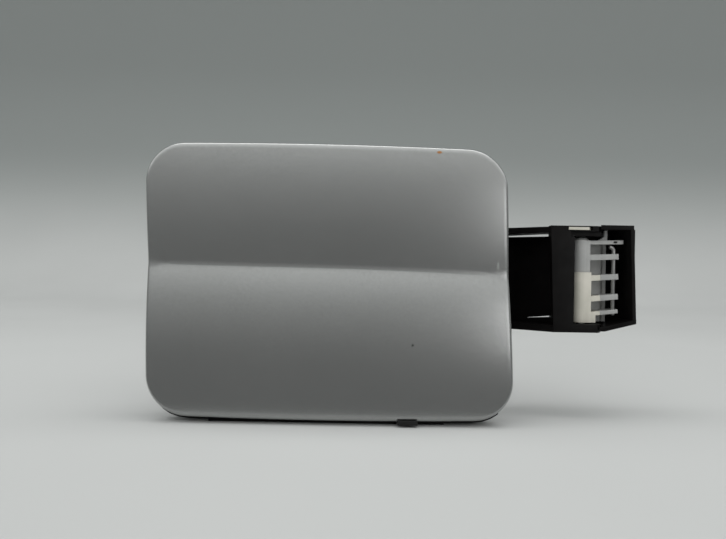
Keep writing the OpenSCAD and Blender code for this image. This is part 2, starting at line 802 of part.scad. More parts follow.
module bump_stops() {
    dome = buffer_r * 0.4;
    color([0.03, 0.03, 0.03]) at_door() for (p = buffer_bosses)
        translate([p[0], carrier_back, p[1]]) rotate([-90, 0, 0]) rotate_extrude()
            polygon(concat([[0, -buffer_stem], [buffer_stem_r, -buffer_stem], [buffer_stem_r, 0],
                            [buffer_r, 0], [buffer_r, buffer_h - dome]],
                           [for (a = [15 : 15 : 75])
                               [buffer_r - dome * (1 - cos(a)), buffer_h - dome + dome * sin(a)]],
                           [[buffer_r - dome, buffer_h], [0, buffer_h]]));
}

module cap_holder() {
    plate_h = 2 * rivet_z + 2 * rivet_head_r + 2;
    color([0.06, 0.06, 0.06]) at_door() difference() {
        union() {
            block([holder_x - boss_r - 1, carrier_back, -plate_h / 2],
                  [holder_x + boss_r + 1, carrier_back + holder_t, plate_h / 2]);
            door_plate(carrier_back, carrier_back + holder_t)
                translate([holder_x, 0]) circle(r = holder_r);
            door_plate(carrier_back, carrier_back + holder_d) difference() {
                translate([holder_x, 0]) circle(r = holder_r);
                translate([holder_x, 0]) circle(r = holder_r - holder_t);
                translate([holder_x - 2 * holder_r, holder_r / 4])
                    square([4 * holder_r, 2 * holder_r]);
            }
        }
        for (p = holder_bosses)
            bar_y(p[0], p[1], carrier_back - over, carrier_back + holder_t + over,
                  rivet_r + fit_gap);
    }
}

module holder_rivets() {
    color([0.1, 0.1, 0.1]) at_door() for (p = holder_bosses) {
        bar_y(p[0], p[1], boss_floor + over, carrier_back + holder_t, rivet_r);
        bar_y(p[0], p[1], carrier_back + holder_t, carrier_back + holder_t + rivet_head_h,
              rivet_head_r);
    }
}

// The box's outer wall, or with inset its inner face, leaning out towards its foot
module wall_section(left, y0, y1) {
    z0 = box_bottom + floor_rise - over / 2;
    translate([0, y1, 0]) rotate([90, 0, 0]) linear_extrude(height = y1 - y0)
        polygon([[left + wall_lean / 2, z0], [box_reach + wall_lean / 2, z0],
                 [box_reach - wall_lean / 2, box_top], [left - wall_lean / 2, box_top]]);
}

// Plan of the box's top plate, free round the hinge
module box_plan() {
    difference() {
        translate([back_left, box_front])
            square([box_reach - wall_lean / 2 - back_left, wall_back - box_front]);
        circle(r = swing_r);
    }
}

// The floor's section: level at first, then rising to the outer wall
module floor_section(lift, t) {
    translate([0, wall_back, 0]) rotate([90, 0, 0]) linear_extrude(height = wall_back - box_front)
        polygon([[back_left, box_bottom + lift], [slope_start, box_bottom + lift],
                 [box_reach + wall_lean / 2, box_bottom + floor_rise + lift],
                 [box_reach + wall_lean / 2, box_bottom + floor_rise + lift + t],
                 [slope_start, box_bottom + lift + t], [back_left, box_bottom + lift + t]]);
}

module hinge_box() {
    color([0.06, 0.06, 0.06]) at_axis() difference() {
        union() {
            translate([0, 0, box_top - box_t]) linear_extrude(height = box_t) box_plan();
            floor_section(0, box_t);
            wall_section(box_reach - side_t, box_front, back_depth);
            wall_section(back_left + wall_lean / 2, wall_front, wall_back);
            block([back_left, wall_front, box_bottom + over / 2],
                  [box_reach - side_t, wall_back, box_top]);
            block([box_reach - wall_lean, wall_back, box_bottom + floor_rise],
                  [box_reach + wing_w, back_depth, box_top]);
            box_gussets();
        }
        floor_section(-4 * box_t, 4 * box_t);
        bar_z(box_bottom - over, box_top + over, swing_r);
        for (s = [-1, 1])
            bar_y(flange_reach, s * hole_dz / 2, wall_back - over, back_depth + over,
                  hole_r + sleeve_t + fit_gap);
        for (z = comb_screw_z)
            bar_y(comb_screw_x, z, wall_front - over, wall_back + over, screw_r + fit_gap);
    }
}

// Ribs between the outer wall and the mounting flange
module box_gussets() {
    rib = wing_w * 0.6;
    for (z = [box_bottom + floor_rise, -rib_t / 2, box_top - rib_t])
        translate([box_reach - side_t / 2, wall_back + over / 2, z]) linear_extrude(height = rib_t)
            polygon([[0, 0], [rib, 0], [0, -rib]]);
}

module mount_sleeves() {
    color("lightgray") at_axis() for (s = [-1, 1]) difference() {
        bar_y(flange_reach, s * hole_dz / 2, wall_back, back_depth, hole_r + sleeve_t);
        bar_y(flange_reach, s * hole_dz / 2, wall_back - over, back_depth + over, hole_r);
    }
}

// One tine, from x0 to x1, on height z at the knuckle's end, slanted like its neighbours
module tine(x0, x1, z, t) {
    depth = web_y + comb_web_t / 2 - tine_front;
    translate([stub_reach, tine_front, z]) rotate([0, tine_fan * z - tine_slant, 0])
        translate([x0 - stub_reach, 0, -t / 2]) cube([x1 - x0, depth, t]);
}

// Upper barrel with a bevelled top and a flat spine
module comb_barrel() {
    bar_z(barrel_split, barrel_top - dome_h, barrel_r);
    translate([0, 0, barrel_top - dome_h])
        cylinder(r1 = barrel_r, r2 = barrel_r - dome_h, h = dome_h);
    block([spine_x, tine_front - spine_rise, barrel_split],
          [spine_x + spine_w, 0, barrel_top - dome_h]);
}

// Back web: a plate, a groove and a rib behind the tines' ends
module comb_web() {
    rib_left = groove_x + groove_w;
    block([0, 0, barrel_split], [pin_r, web_y + comb_web_t, barrel_top - dome_h]);
    block([0, web_y, barrel_split], [groove_x, web_y + comb_web_t, barrel_top - dome_h]);
    block([comb_left, web_y, knuckle_bottom], [groove_x, web_y + comb_web_t, barrel_top - dome_h]);
    block([comb_left, web_y + comb_web_t / 2, knuckle_bottom],
          [comb_web_reach, web_y + comb_web_t, first_tine_z]);
    block([rib_left, web_y, knuckle_bottom], [comb_web_reach, web_y + comb_web_t, first_tine_z]);
}

// Locating peg on the first tine, under the box's top, with a ridge up to it
module comb_peg() {
    block([peg_x, 0, first_tine_z], [peg_x + peg_w, peg_d, box_top - box_t - fit_gap]);
    translate([0, peg_d, 0]) rotate([90, 0, 0]) linear_extrude(height = peg_d)
        polygon([[stub_reach - peg_d, first_tine_z], [peg_x + peg_w, first_tine_z],
                 [peg_x, first_tine_z + end_tine_t / 2 + peg_d]]);
}

module hinge_comb() {
    eye_h = end_tine_t * tine_eye_share;
    notch_z = first_tine_z + (wire_x - stub_reach) * sin(tine_slant - tine_fan * first_tine_z);
    color([0.66, 0.66, 0.65]) at_axis() difference() {
        union() {
            comb_barrel();
            comb_web();
            comb_peg();
            block([stem_x0, web_y, stem_z[0]], [stem_x1, wall_front, stem_z[1]]);
            tine(0, end_reach, first_tine_z, end_tine_t);
            tine(0, tine_reach, tine_levels[0], tine_t);
            for (i = [1, 2]) tine(stub_reach + fit_gap, tine_reach, tine_levels[i], tine_t);
            tine(stub_reach + fit_gap, tine_reach, last_tine_z, end_tine_t);
        }
        bar_z(knuckle_bottom - over, barrel_top + over, pin_r + pin_gap);
        bar_z(knuckle_bottom - over, barrel_split, comb_left);
        block([wire_x - wire_r, tine_front - over, notch_z - eye_h / 2],
              [wire_x + wire_r, web_y + 2 * comb_web_t, notch_z + eye_h / 2]);
        translate([wire_x, wire_y, last_tine_z - 2 * end_tine_t])
            cylinder(r = wire_r + fit_gap, h = tine_levels[0] + tine_t - last_tine_z + 3 * end_tine_t);
        for (z = comb_screw_z)
            bar_y(comb_screw_x, z, wall_front - comb_screw_len, wall_front + over,
                  screw_r + fit_gap);
    }
}

module comb_screws() {
    color("lightgray") at_axis() for (z = comb_screw_z)
        screw(comb_screw_x, z, wall_back, 1, comb_screw_len);
}

// Lower barrel with its spine and the short ribs that carry on the comb's tines
module hinge_knuckle() {
    color([0.8, 0.78, 0.7]) at_axis() difference() {
        union() {
            bar_z(knuckle_bottom, barrel_split - fit_gap, knuckle_r);
            block([spine_x, tine_front - 2 * spine_rise, knuckle_bottom],
                  [spine_x + spine_w + spine_rise, 0, barrel_split - fit_gap]);
            difference() {
                union() {
                    for (i = [1, 2]) tine(0, stub_reach, tine_levels[i], tine_t);
                    tine(0, stub_reach, last_tine_z, end_tine_t);
                }
                block([0, web_y - fit_gap, knuckle_bottom],
                      [tine_reach, web_y + 2 * comb_web_t, barrel_split]);
            }
            block([0, tine_front, knuckle_bottom],
                  [knuckle_foot, web_y - fit_gap, last_tine_z]);
        }
        bar_z(knuckle_bottom - over, barrel_split + over, pin_r + pin_gap);
    }
}

module thrust_washers() {
    color([0.2, 0.2, 0.2]) at_axis() difference() {
        union() {
            bar_z(barrel_top, barrel_top + thrust_t, thrust_r);
            bar_z(knuckle_bottom - thrust_t, knuckle_bottom, thrust_r);
        }
        bar_z(knuckle_bottom - 2 * thrust_t, barrel_top + 2 * thrust_t, pin_r + pin_gap);
    }
}

// Spring wire threaded down through the tines, with its upper end bent towards the barrel
module detent_spring() {
    top_z = first_tine_z - end_tine_t / 2 - wire_bend - wire_r - run_gap;
    low_z = last_tine_z - end_tine_t / 2 - fit_gap;
    color([0.6, 0.6, 0.6]) at_axis() translate([wire_x, wire_y, 0]) {
        translate([0, 0, low_z]) cylinder(r = wire_r, h = top_z - low_z);
        translate([-wire_bend, 0, top_z]) rotate([90, 0, 0])
            rotate_extrude(angle = 90) translate([wire_bend, 0]) circle(r = wire_r);
    }
}

outer_skin();
inner_carrier();
flutter_pads();
edge_clip();
hinge_arm();
arm_screws();
arm_washers();
hinge_pin();
pin_keeper();
latch_striker();
striker_screws();
bump_stops();
cap_holder();
holder_rivets();
hinge_box();
mount_sleeves();
hinge_comb();
comb_screws();
hinge_knuckle();
thrust_washers();
detent_spring();
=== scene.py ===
"""Looks of the car fuel door: painted skin, moulded plastic, steel, studio and camera."""
import json
import math

import bmesh
import bpy
from mathutils import Matrix, Vector


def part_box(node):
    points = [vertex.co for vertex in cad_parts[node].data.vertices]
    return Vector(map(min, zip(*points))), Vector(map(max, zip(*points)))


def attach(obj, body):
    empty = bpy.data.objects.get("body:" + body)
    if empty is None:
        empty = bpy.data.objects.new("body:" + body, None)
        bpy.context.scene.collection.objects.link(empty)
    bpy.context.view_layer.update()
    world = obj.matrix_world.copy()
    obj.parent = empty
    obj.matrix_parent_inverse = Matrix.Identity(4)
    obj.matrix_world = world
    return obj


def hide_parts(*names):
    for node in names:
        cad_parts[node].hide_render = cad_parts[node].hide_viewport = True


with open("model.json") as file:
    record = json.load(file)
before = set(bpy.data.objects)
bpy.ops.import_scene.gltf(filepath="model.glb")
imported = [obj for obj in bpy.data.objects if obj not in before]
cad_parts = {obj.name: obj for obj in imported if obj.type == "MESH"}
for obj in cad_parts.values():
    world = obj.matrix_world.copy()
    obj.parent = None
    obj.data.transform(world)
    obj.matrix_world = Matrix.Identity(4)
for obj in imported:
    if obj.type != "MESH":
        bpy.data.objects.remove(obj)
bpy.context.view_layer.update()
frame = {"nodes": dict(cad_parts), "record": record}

MM = 0.001

# Door outline and face, as in the part's source, in millimetres
DOOR_W = 185.0
DOOR_H = 138.0
CORNER_R = 20.0
DOOR_LEAN = 4.4
EDGE_BOW = 1.2
TOP_FALL = 1.2
FACE_CROWN = 1.5
CREASE_Z = 7.3
CREASE_FALL = 1.6
CREASE_DROOP = 2.2
CREASE_SOFT = 1.1
CREASE_DEPTH = 2.2
ABOVE_CREASE = math.radians(5)
BELOW_CREASE = math.radians(12)
EDGE_TILT = math.radians(4)
SKIN_T = 0.8
ROLL_R = 1.8
HEM_Y = 7.5
HEM_W = 6.5
DOOR_AT = Vector((-171.5, -52.2, -4.6))
HALF_W = DOOR_W / 2
HALF_H = DOOR_H / 2

# Mesh of the skin: steps round the outline and the bends, and loops that close in on the crease
ARC_STEPS = 20
LONG_STEPS = 60
SHORT_STEPS = 40
ROLL_STEPS = 8
FACE_LOOPS = 44
FACE_INSET = 4.0
LOOP_BUNCHING = 1.6
SPINE_X = 0.07
SPINE_Z = 0.985
SKIN_SHARP = math.radians(50)

# Rounding of moulded and turned edges
MERGE_DIST = 0.002
FLAT_ANGLE = math.radians(0.6)
ROUNDED_FROM = math.radians(32)
ROUNDING_STEPS = 3

# Camera, measured from the photograph
IMAGE_W = 726
FOCAL_PX = 575.0
SENSOR_MM = 36.0
CAMERA_AT = Vector((-154.0, -342.2, 1.3)) * MM
CAMERA_ROLL = math.radians(-1.0)
CLIP_START = 0.01

# Silver paint: flakes, clouds, clear coat and the fine and wide waves in it
FLAKE_SCALE = 2600.0
FLAKE_TONES = ((0.27, 0.275, 0.27), (0.41, 0.415, 0.41))
FLAKE_SHARE = 0.5
CLOUD_SCALE = 18.0
CLOUD_DETAIL = 3.0
CLOUD_TONES = ((0.33, 0.335, 0.33), (0.36, 0.365, 0.36))
PAINT_METALLIC = 0.9
PAINT_ROUGH = 0.26
COAT_WEIGHT = 0.6
COAT_ROUGH = 0.1
FINE_WAVES = {"scale": 1500.0, "strength": 0.12, "distance": 0.00008}
WIDE_WAVES = {"scale": 55.0, "strength": 0.05, "distance": 0.0006}

# Chips and marks on the paint, from the door's middle: place and size in millimetres, colour
PAINT_SPOTS = (
    ((55.4, 0.7, 66.1), (2.0, 3.0, 1.0), (0.35, 0.16, 0.05)),
    ((86.4, 1.7, 8.4), (1.3, 2.5, 3.8), (0.50, 0.51, 0.50)),
    ((43.0, -2.9, -31.6), (0.7, 2.0, 0.7), (0.10, 0.10, 0.10)),
)
SPOT_EDGE = 1.45
SPOT_SOFT = 0.35
SPOT_RAGGED = 0.9
SPOT_GRAIN_SCALE = 2200.0

# Plastics: tones, roughness, scale and strength of the moulded grain, and gloss
PLASTICS = {
    "black_moulding": {
        "tones": ((0.003, 0.0026, 0.0026), (0.0055, 0.0048, 0.0048)),
        "rough": 0.45, "grain_scale": 900.0, "grain": 0.25, "gloss": 0.12},
    "grey_moulding": {
        "tones": ((0.36, 0.36, 0.355), (0.43, 0.43, 0.42)),
        "rough": 0.42, "grain_scale": 400.0, "grain": 0.08, "gloss": 0.5},
    "cream_moulding": {
        "tones": ((0.56, 0.54, 0.47), (0.64, 0.61, 0.54)),
        "rough": 0.42, "grain_scale": 400.0, "grain": 0.08, "gloss": 0.5},
    "black_rubber": {
        "tones": ((0.005, 0.005, 0.005), (0.009, 0.009, 0.009)),
        "rough": 0.75, "grain_scale": 700.0, "grain": 0.2, "gloss": 0.3},
    "grey_foam": {
        "tones": ((0.05, 0.05, 0.05), (0.12, 0.12, 0.12)),
        "rough": 0.9, "grain_scale": 1500.0, "grain": 0.8, "gloss": 0.5},
}
MOULD_CLOUD_SCALE = 90.0
MOULD_CLOUD_DETAIL = 4.0
MOULD_CLOUD_ROUGH = 0.6
MOULD_STOPS = (0.35, 0.7)
WEAR_SCALE = 160.0
WEAR_DETAIL = 3.0
WEAR_RANGE = 0.07
GRAIN_DETAIL = 3.0
GRAIN_DEPTH = 0.00012

# Steels: colour and roughness
STEELS = {
    "plated_steel": {"colour": (0.60, 0.60, 0.58), "rough": 0.32},
    "spring_wire": {"colour": (0.50, 0.50, 0.49), "rough": 0.38},
}
STREAK_SCALE = 1800.0
STREAK_STRETCH = (1.0, 1.0, 0.12)
STREAK_DARK = 0.8
STREAK_STRENGTH = 0.1
STREAK_DEPTH = 0.00005

# Mouldings: node, slot, material and rounding of the edges in millimetres
MOULDINGS = (
    ("inner_carrier", "black_plastic", "black_moulding", 0.3),
    ("hinge_arm", "black_plastic", "black_moulding", 0.35),
    ("hinge_box", "black_plastic", "black_moulding", 0.35),
    ("cap_holder", "black_plastic", "black_moulding", 0.4),
    ("holder_rivets", "black_plastic", "black_moulding", 0.25),
    ("thrust_washers", "black_plastic", "black_moulding", 0.12),
    ("edge_clip", "rubber", "black_rubber", 0.2),
    ("bump_stops", "rubber", "black_rubber", 0.2),
    ("flutter_pads", "foam", "grey_foam", 0.3),
    ("hinge_comb", "grey_plastic", "grey_moulding", 0.28),
    ("hinge_knuckle", "cream_plastic", "cream_moulding", 0.28),
    ("pin_keeper", "cream_plastic", "cream_moulding", 0.12),
)

# Metal pieces: node, slot, material and rounding of the edges in millimetres
METAL_PIECES = (
    ("arm_screws", "steel", "plated_steel", 0.3),
    ("arm_washers", "steel", "plated_steel", 0.15),
    ("striker_screws", "steel", "plated_steel", 0.3),
    ("comb_screws", "steel", "plated_steel", 0.3),
    ("hinge_pin", "steel", "plated_steel", 0.2),
    ("latch_striker", "steel", "plated_steel", 0.3),
    ("mount_sleeves", "steel", "plated_steel", 0.12),
    ("detent_spring", "spring_steel", "spring_wire", 0.1),
)

# Noise values between which a colour ramp goes from its first tone to its second
SOFT_STOPS = (0.3, 0.7)
FULL_STOPS = (0.0, 1.0)

# Stage, in metres: a floor at the door's foot that sweeps up into a wall
FLOOR_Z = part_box("inner_carrier")[0].z
FLOOR_HALF = 6.0
FLOOR_FRONT = -6.0
FLOOR_NEAR = -0.07
SWEEP_Y = 0.9
SWEEP_R = 0.8
SWEEP_STEPS = 24
FLOOR_TONE = (0.50, 0.505, 0.50)
FLOOR_CLOUD = 1.06
FLOOR_CLOUD_SCALE = 3.0
WALL_TONE = (0.26, 0.275, 0.27)
WALL_RISE = 0.5
STAGE_ROUGH = 0.9

# Brightness of the studio's walls by the sine of their height over the horizon
WALL_LEVELS = (
    (-0.25, 0.21),
    (0.0, 0.22),
    (0.12, 0.35),
    (0.24, 0.46),
    (0.32, 0.75),
    (0.4, 1.3),
    (1.0, 1.3),
)
WALL_TINT = (0.98, 1.0, 0.99)
WORLD_SHOWN = (0.48, 0.50, 0.50)

# Lamps, in metres and watts: name, place, size and power
LAMP_TARGET = (-0.15, -0.03, 0.0)
LAMPS = (
    ("top_light", (-0.15, 0.0, 1.1), (1.6, 0.35), 4.0),
    ("window_light", (0.5, -1.1, 0.12), (0.5, 0.36), 0.85),
)


def quarter_turn(steps):
    """Angles from zero to a quarter turn."""
    return [math.pi / 2 * i / steps for i in range(steps + 1)]


def corner_point(sx, sz, turn, inset):
    """Point of a rounded rectangle by its corner and angle, moved in by inset."""
    return (sx * (HALF_W - CORNER_R) + (CORNER_R - inset) * math.cos(turn),
            sz * (HALF_H - CORNER_R) + (CORNER_R - inset) * math.sin(turn))


def straight(p, q, steps):
    """Points between two ends, without the ends."""
    return [(p[0] + (q[0] - p[0]) * i / steps, p[1] + (q[1] - p[1]) * i / steps)
            for i in range(1, steps)]


def plain_ring(inset):
    """Closed outline, moved in by inset, from the upper hinge-side corner."""
    corners = ((1, 1, LONG_STEPS), (-1, 1, SHORT_STEPS), (-1, -1, LONG_STEPS), (1, -1, SHORT_STEPS))
    points = []
    for k, (sx, sz, steps) in enumerate(corners):
        start = k * math.pi / 2
        points += [corner_point(sx, sz, start + turn, inset) for turn in quarter_turn(ARC_STEPS)]
        nx, nz, _ = corners[(k + 1) % 4]
        end = start + math.pi / 2
        points += straight(corner_point(sx, sz, end, inset), corner_point(nx, nz, end, inset), steps)
    return points


def shaped(p):
    """The real outline leans, its long edges are bowed, and its top falls to the hinge side."""
    x, z = p
    bow = EDGE_BOW * (z / HALF_H) * (1 - (x / HALF_W) ** 2)
    fall = TOP_FALL * max(0.0, z / HALF_H) * (0.5 + 0.5 * x / HALF_W)
    return (x - DOOR_LEAN * z / DOOR_H, z + bow - fall)


def ring_at(inset):
    """The real outline, moved in by inset."""
    return [shaped(p) for p in plain_ring(inset)]


def crease_at(x):
    """Height of the crease at a place along the door."""
    return CREASE_Z - CREASE_FALL * x / DOOR_W - CREASE_DROOP * max(0.0, x / HALF_W) ** 2


def face_y(p):
    """Depth of the outer face at a point of the door."""
    h = p[1] - crease_at(p[0])
    start = math.tan(ABOVE_CREASE if h > 0 else BELOW_CREASE)
    reach = HALF_H - CREASE_Z if h > 0 else HALF_H + CREASE_Z
    soft = math.hypot(h, CREASE_SOFT) - CREASE_SOFT
    return (CREASE_DEPTH + FACE_CROWN * (p[0] / HALF_W) ** 2 - start * soft
            + (start + math.tan(EDGE_TILT)) * h * h / (2 * reach))


def to_crease(p, share):
    """A point of the face, moved towards the crease by a share of its way."""
    x = p[0] * (1 - SPINE_X * share)
    c = crease_at(x)
    return (x, c + (p[1] - c) * (1 - SPINE_Z * share))


def face_loop(inset, share, back):
    """Loop on the face, at a depth of back behind it."""
    return [(x, face_y((x, z)) + back, z)
            for x, z in (to_crease(p, share) for p in ring_at(inset))]


def flat_loop(inset, y):
    """Loop at one depth."""
    return [(x, y, z) for x, z in ring_at(inset)]


def skin_loops():
    """Loops from the crease out over the rolled edge to the hem, and back inside."""
    shares = [1 - (i / FACE_LOOPS) ** LOOP_BUNCHING for i in range(FACE_LOOPS + 1)]
    loops = [face_loop(FACE_INSET, s, 0) for s in shares]
    loops.append(face_loop((FACE_INSET + ROLL_R) / 2, 0, 0))
    for turn in quarter_turn(ROLL_STEPS):
        loops.append(face_loop(ROLL_R * (1 - math.sin(turn)), 0, ROLL_R * (1 - math.cos(turn))))
    for turn in quarter_turn(ROLL_STEPS):
        loops.append(flat_loop(SKIN_T * (1 - math.cos(turn)), HEM_Y - SKIN_T * (1 - math.sin(turn))))
    loops += [flat_loop(HEM_W, HEM_Y), flat_loop(HEM_W, HEM_Y - SKIN_T),
              flat_loop(SKIN_T, HEM_Y - SKIN_T), face_loop(SKIN_T, 0, ROLL_R),
              face_loop(ROLL_R, 0, SKIN_T)]
    loops += [face_loop(FACE_INSET, s, SKIN_T) for s in reversed(shares)]
    return loops


def mesh_object(name, bm):
    """A smoothly shaded object in the scene, made from a bmesh."""
    mesh = bpy.data.meshes.new(name)
    bm.to_mesh(mesh)
    bm.free()
    mesh.polygons.foreach_set("use_smooth", [True] * len(mesh.polygons))
    made = bpy.data.objects.new(name, mesh)
    bpy.context.scene.collection.objects.link(made)
    return made


def body_of(node):
    """Name of the body that a node belongs to."""
    bodies = frame["record"]["behaviour"]["bodies"]
    return next(body for body, names in bodies.items() if node in names)


def add_piece(name, bm, node):
    """Puts a bmesh in a node's place, as a piece that rides on the node's body."""
    piece = mesh_object(name, bm)
    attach(piece, body_of(node))
    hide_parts(node)
    return piece


def close_loop(bm, row, turned):
    """Closes the narrow loop round the crease with faces from its one side to the other."""
    count = len(row)
    low = -(SHORT_STEPS // 2)
    for i in range(count // 2 - 1):
        quad = [row[(i + low) % count], row[(i + 1 + low) % count],
                row[(low - 2 - i) % count], row[(low - 1 - i) % count]]
        if len(set(quad)) == 4:
            bm.faces.new(quad if turned else quad[::-1])


def build_skin():
    """The painted skin as one closed sheet with a rolled and hemmed edge."""
    bm = bmesh.new()
    rows = [[bm.verts.new((DOOR_AT + Vector(p)) * MM) for p in loop] for loop in skin_loops()]
    count = len(rows[0])
    for inner, outer in zip(rows, rows[1:]):
        for i in range(count):
            j = (i + 1) % count
            bm.faces.new((inner[i], inner[j], outer[j], outer[i]))
    close_loop(bm, rows[0], False)
    close_loop(bm, rows[-1], True)
    bmesh.ops.recalc_face_normals(bm, faces=bm.faces)
    skin = add_piece("painted_skin", bm, "outer_skin")
    skin.data.set_sharp_from_angle(angle=SKIN_SHARP)
    dress(skin, paint_material())


def softened(node, width, name):
    """A copy of a CAD node whose edges are rounded, in place of the node."""
    bm = bmesh.new()
    bm.from_mesh(frame["nodes"][node].data)
    bmesh.ops.remove_doubles(bm, verts=bm.verts, dist=MERGE_DIST * MM)
    bmesh.ops.dissolve_limit(bm, angle_limit=FLAT_ANGLE, verts=bm.verts, edges=bm.edges)
    piece = add_piece(name, bm, node)
    rounding = piece.modifiers.new("rounding", "BEVEL")
    rounding.width = width * MM
    rounding.segments = ROUNDING_STEPS
    rounding.limit_method = "ANGLE"
    rounding.angle_limit = ROUNDED_FROM
    rounding.use_clamp_overlap = True
    rounding.harden_normals = True
    return piece


def fill_ramp(ramp, stops):
    """Sets the stops of a colour ramp, each a place and a colour."""
    elements = ramp.color_ramp.elements
    while len(elements) < len(stops):
        elements.new(0.5)
    for element, (at, colour) in zip(elements, stops):
        element.position = at
        element.color = (*colour, 1)


class Graph:
    """A short way to build a material's nodes."""

    def __init__(self, name):
        self.material = bpy.data.materials.new(name)
        self.material.use_nodes = True
        self.tree = self.material.node_tree
        self.shader = self.tree.nodes["Principled BSDF"]

    def node(self, kind, **values):
        """A node with values for its inputs or settings."""
        made = self.tree.nodes.new(kind)
        for key, value in values.items():
            if key in made.inputs:
                made.inputs[key].default_value = value
            else:
                setattr(made, key, value)
        return made

    def link(self, source, target):
        """Links an output to an input."""
        self.tree.links.new(source, target)

    def set(self, **values):
        """Plain values of the surface, by input name with underscores for spaces."""
        for name, value in values.items():
            self.shader.inputs[name.replace("_", " ")].default_value = value

    def place(self):
        """The object's own coordinates, in metres."""
        return self.node("ShaderNodeTexCoord").outputs["Object"]

    def noise(self, place, scale, detail=2.0, rough=0.5):
        """Grey noise over a place."""
        made = self.node("ShaderNodeTexNoise", Scale=scale, Detail=detail, Roughness=rough)
        self.link(place, made.inputs["Vector"])
        return made.outputs["Fac"]

    def tones(self, factor, stops, colours):
        """Two colours by a factor, which runs from the first stop to the second."""
        made = self.node("ShaderNodeValToRGB")
        fill_ramp(made, list(zip(stops, colours)))
        self.link(factor, made.inputs["Fac"])
        return made.outputs["Color"]

    def bump(self, height, strength, distance, normal=None):
        """Normal of a surface with a height, over another normal if one is given."""
        made = self.node("ShaderNodeBump", Strength=strength, Distance=distance)
        self.link(height, made.inputs["Height"])
        if normal is not None:
            self.link(normal, made.inputs["Normal"])
        return made.outputs["Normal"]

    def waves(self, place, scale, strength, distance, normal=None):
        """Normal of a surface with noisy waves."""
        return self.bump(self.noise(place, scale), strength, distance, normal)

    def mix(self, factor, a, b):
        """Mixes two colours, each a socket or an rgb value, by a socket or a number."""
        made = self.node("ShaderNodeMix", data_type="RGBA")
        for name, kind, value in (("Factor", "VALUE", factor), ("A", "RGBA", a), ("B", "RGBA", b)):
            target = next(s for s in made.inputs if s.name == name and s.type == kind)
            if isinstance(value, bpy.types.NodeSocket):
                self.link(value, target)
            elif kind == "VALUE":
                target.default_value = value
            else:
                target.default_value = (*value, 1)
        return next(s for s in made.outputs if s.type == "RGBA")

    def spot(self, place, at, size):
        """1 inside an ellipsoid at a place, with a soft ragged edge, in metres."""
        shift = self.node("ShaderNodeVectorMath", operation="SUBTRACT")
        self.link(place, shift.inputs[0])
        shift.inputs[1].default_value = at
        scale = self.node("ShaderNodeVectorMath", operation="DIVIDE")
        self.link(shift.outputs[0], scale.inputs[0])
        scale.inputs[1].default_value = size
        length = self.node("ShaderNodeVectorMath", operation="LENGTH")
        self.link(scale.outputs[0], length.inputs[0])
        ragged = self.node("ShaderNodeMath", operation="MULTIPLY_ADD")
        self.link(self.noise(place, SPOT_GRAIN_SCALE), ragged.inputs[0])
        ragged.inputs[1].default_value = SPOT_RAGGED
        self.link(length.outputs["Value"], ragged.inputs[2])
        inside = self.node("ShaderNodeMapRange", interpolation_type="SMOOTHSTEP")
        self.link(ragged.outputs[0], inside.inputs["Value"])
        inside.inputs["From Min"].default_value = SPOT_EDGE
        inside.inputs["From Max"].default_value = SPOT_EDGE - SPOT_SOFT
        return inside.outputs["Result"]


def paint_material():
    """Silver metallic base coat under clear coat, with fine flakes and a few chips."""
    g = Graph("silver_paint")
    place = g.place()
    flakes = g.node("ShaderNodeTexVoronoi", Scale=FLAKE_SCALE)
    g.link(place, flakes.inputs["Vector"])
    grain = g.tones(flakes.outputs["Color"], FULL_STOPS, FLAKE_TONES)
    cloud = g.tones(g.noise(place, CLOUD_SCALE, CLOUD_DETAIL), SOFT_STOPS, CLOUD_TONES)
    colour = g.mix(FLAKE_SHARE, grain, cloud)
    for at, size, tint in PAINT_SPOTS:
        where = (DOOR_AT + Vector(at)) * MM
        colour = g.mix(g.spot(place, where, Vector(size) * MM), colour, tint)
    g.link(colour, g.shader.inputs["Base Color"])
    g.set(Metallic=PAINT_METALLIC, Roughness=PAINT_ROUGH)
    g.set(Coat_Weight=COAT_WEIGHT, Coat_Roughness=COAT_ROUGH)
    fine = g.waves(place, **FINE_WAVES)
    g.link(g.waves(place, **WIDE_WAVES, normal=fine), g.shader.inputs["Normal"])
    return g.material


def plastic_material(name, tones, rough, grain_scale, grain, gloss):
    """Moulded plastic with a fine grained surface and slight colour clouds."""
    g = Graph(name)
    place = g.place()
    clouds = g.noise(place, MOULD_CLOUD_SCALE, MOULD_CLOUD_DETAIL, MOULD_CLOUD_ROUGH)
    g.link(g.tones(clouds, MOULD_STOPS, tones), g.shader.inputs["Base Color"])
    levels = [(rough + shift,) * 3 for shift in (-WEAR_RANGE, WEAR_RANGE)]
    worn = g.tones(g.noise(place, WEAR_SCALE, WEAR_DETAIL), SOFT_STOPS, levels)
    g.link(worn, g.shader.inputs["Roughness"])
    height = g.noise(place, grain_scale, GRAIN_DETAIL)
    g.link(g.bump(height, grain, GRAIN_DEPTH), g.shader.inputs["Normal"])
    g.set(Specular_IOR_Level=gloss)
    return g.material


def steel_material(name, colour, rough):
    """Plated or drawn steel, with faint streaks."""
    g = Graph(name)
    stretch = g.node("ShaderNodeMapping")
    stretch.inputs["Scale"].default_value = STREAK_STRETCH
    g.link(g.place(), stretch.inputs["Vector"])
    streaks = g.noise(stretch.outputs["Vector"], STREAK_SCALE)
    tones = ([c * STREAK_DARK for c in colour], colour)
    g.link(g.tones(streaks, SOFT_STOPS, tones), g.shader.inputs["Base Color"])
    g.set(Metallic=1.0, Roughness=rough)
    g.link(g.bump(streaks, STREAK_STRENGTH, STREAK_DEPTH), g.shader.inputs["Normal"])
    return g.material


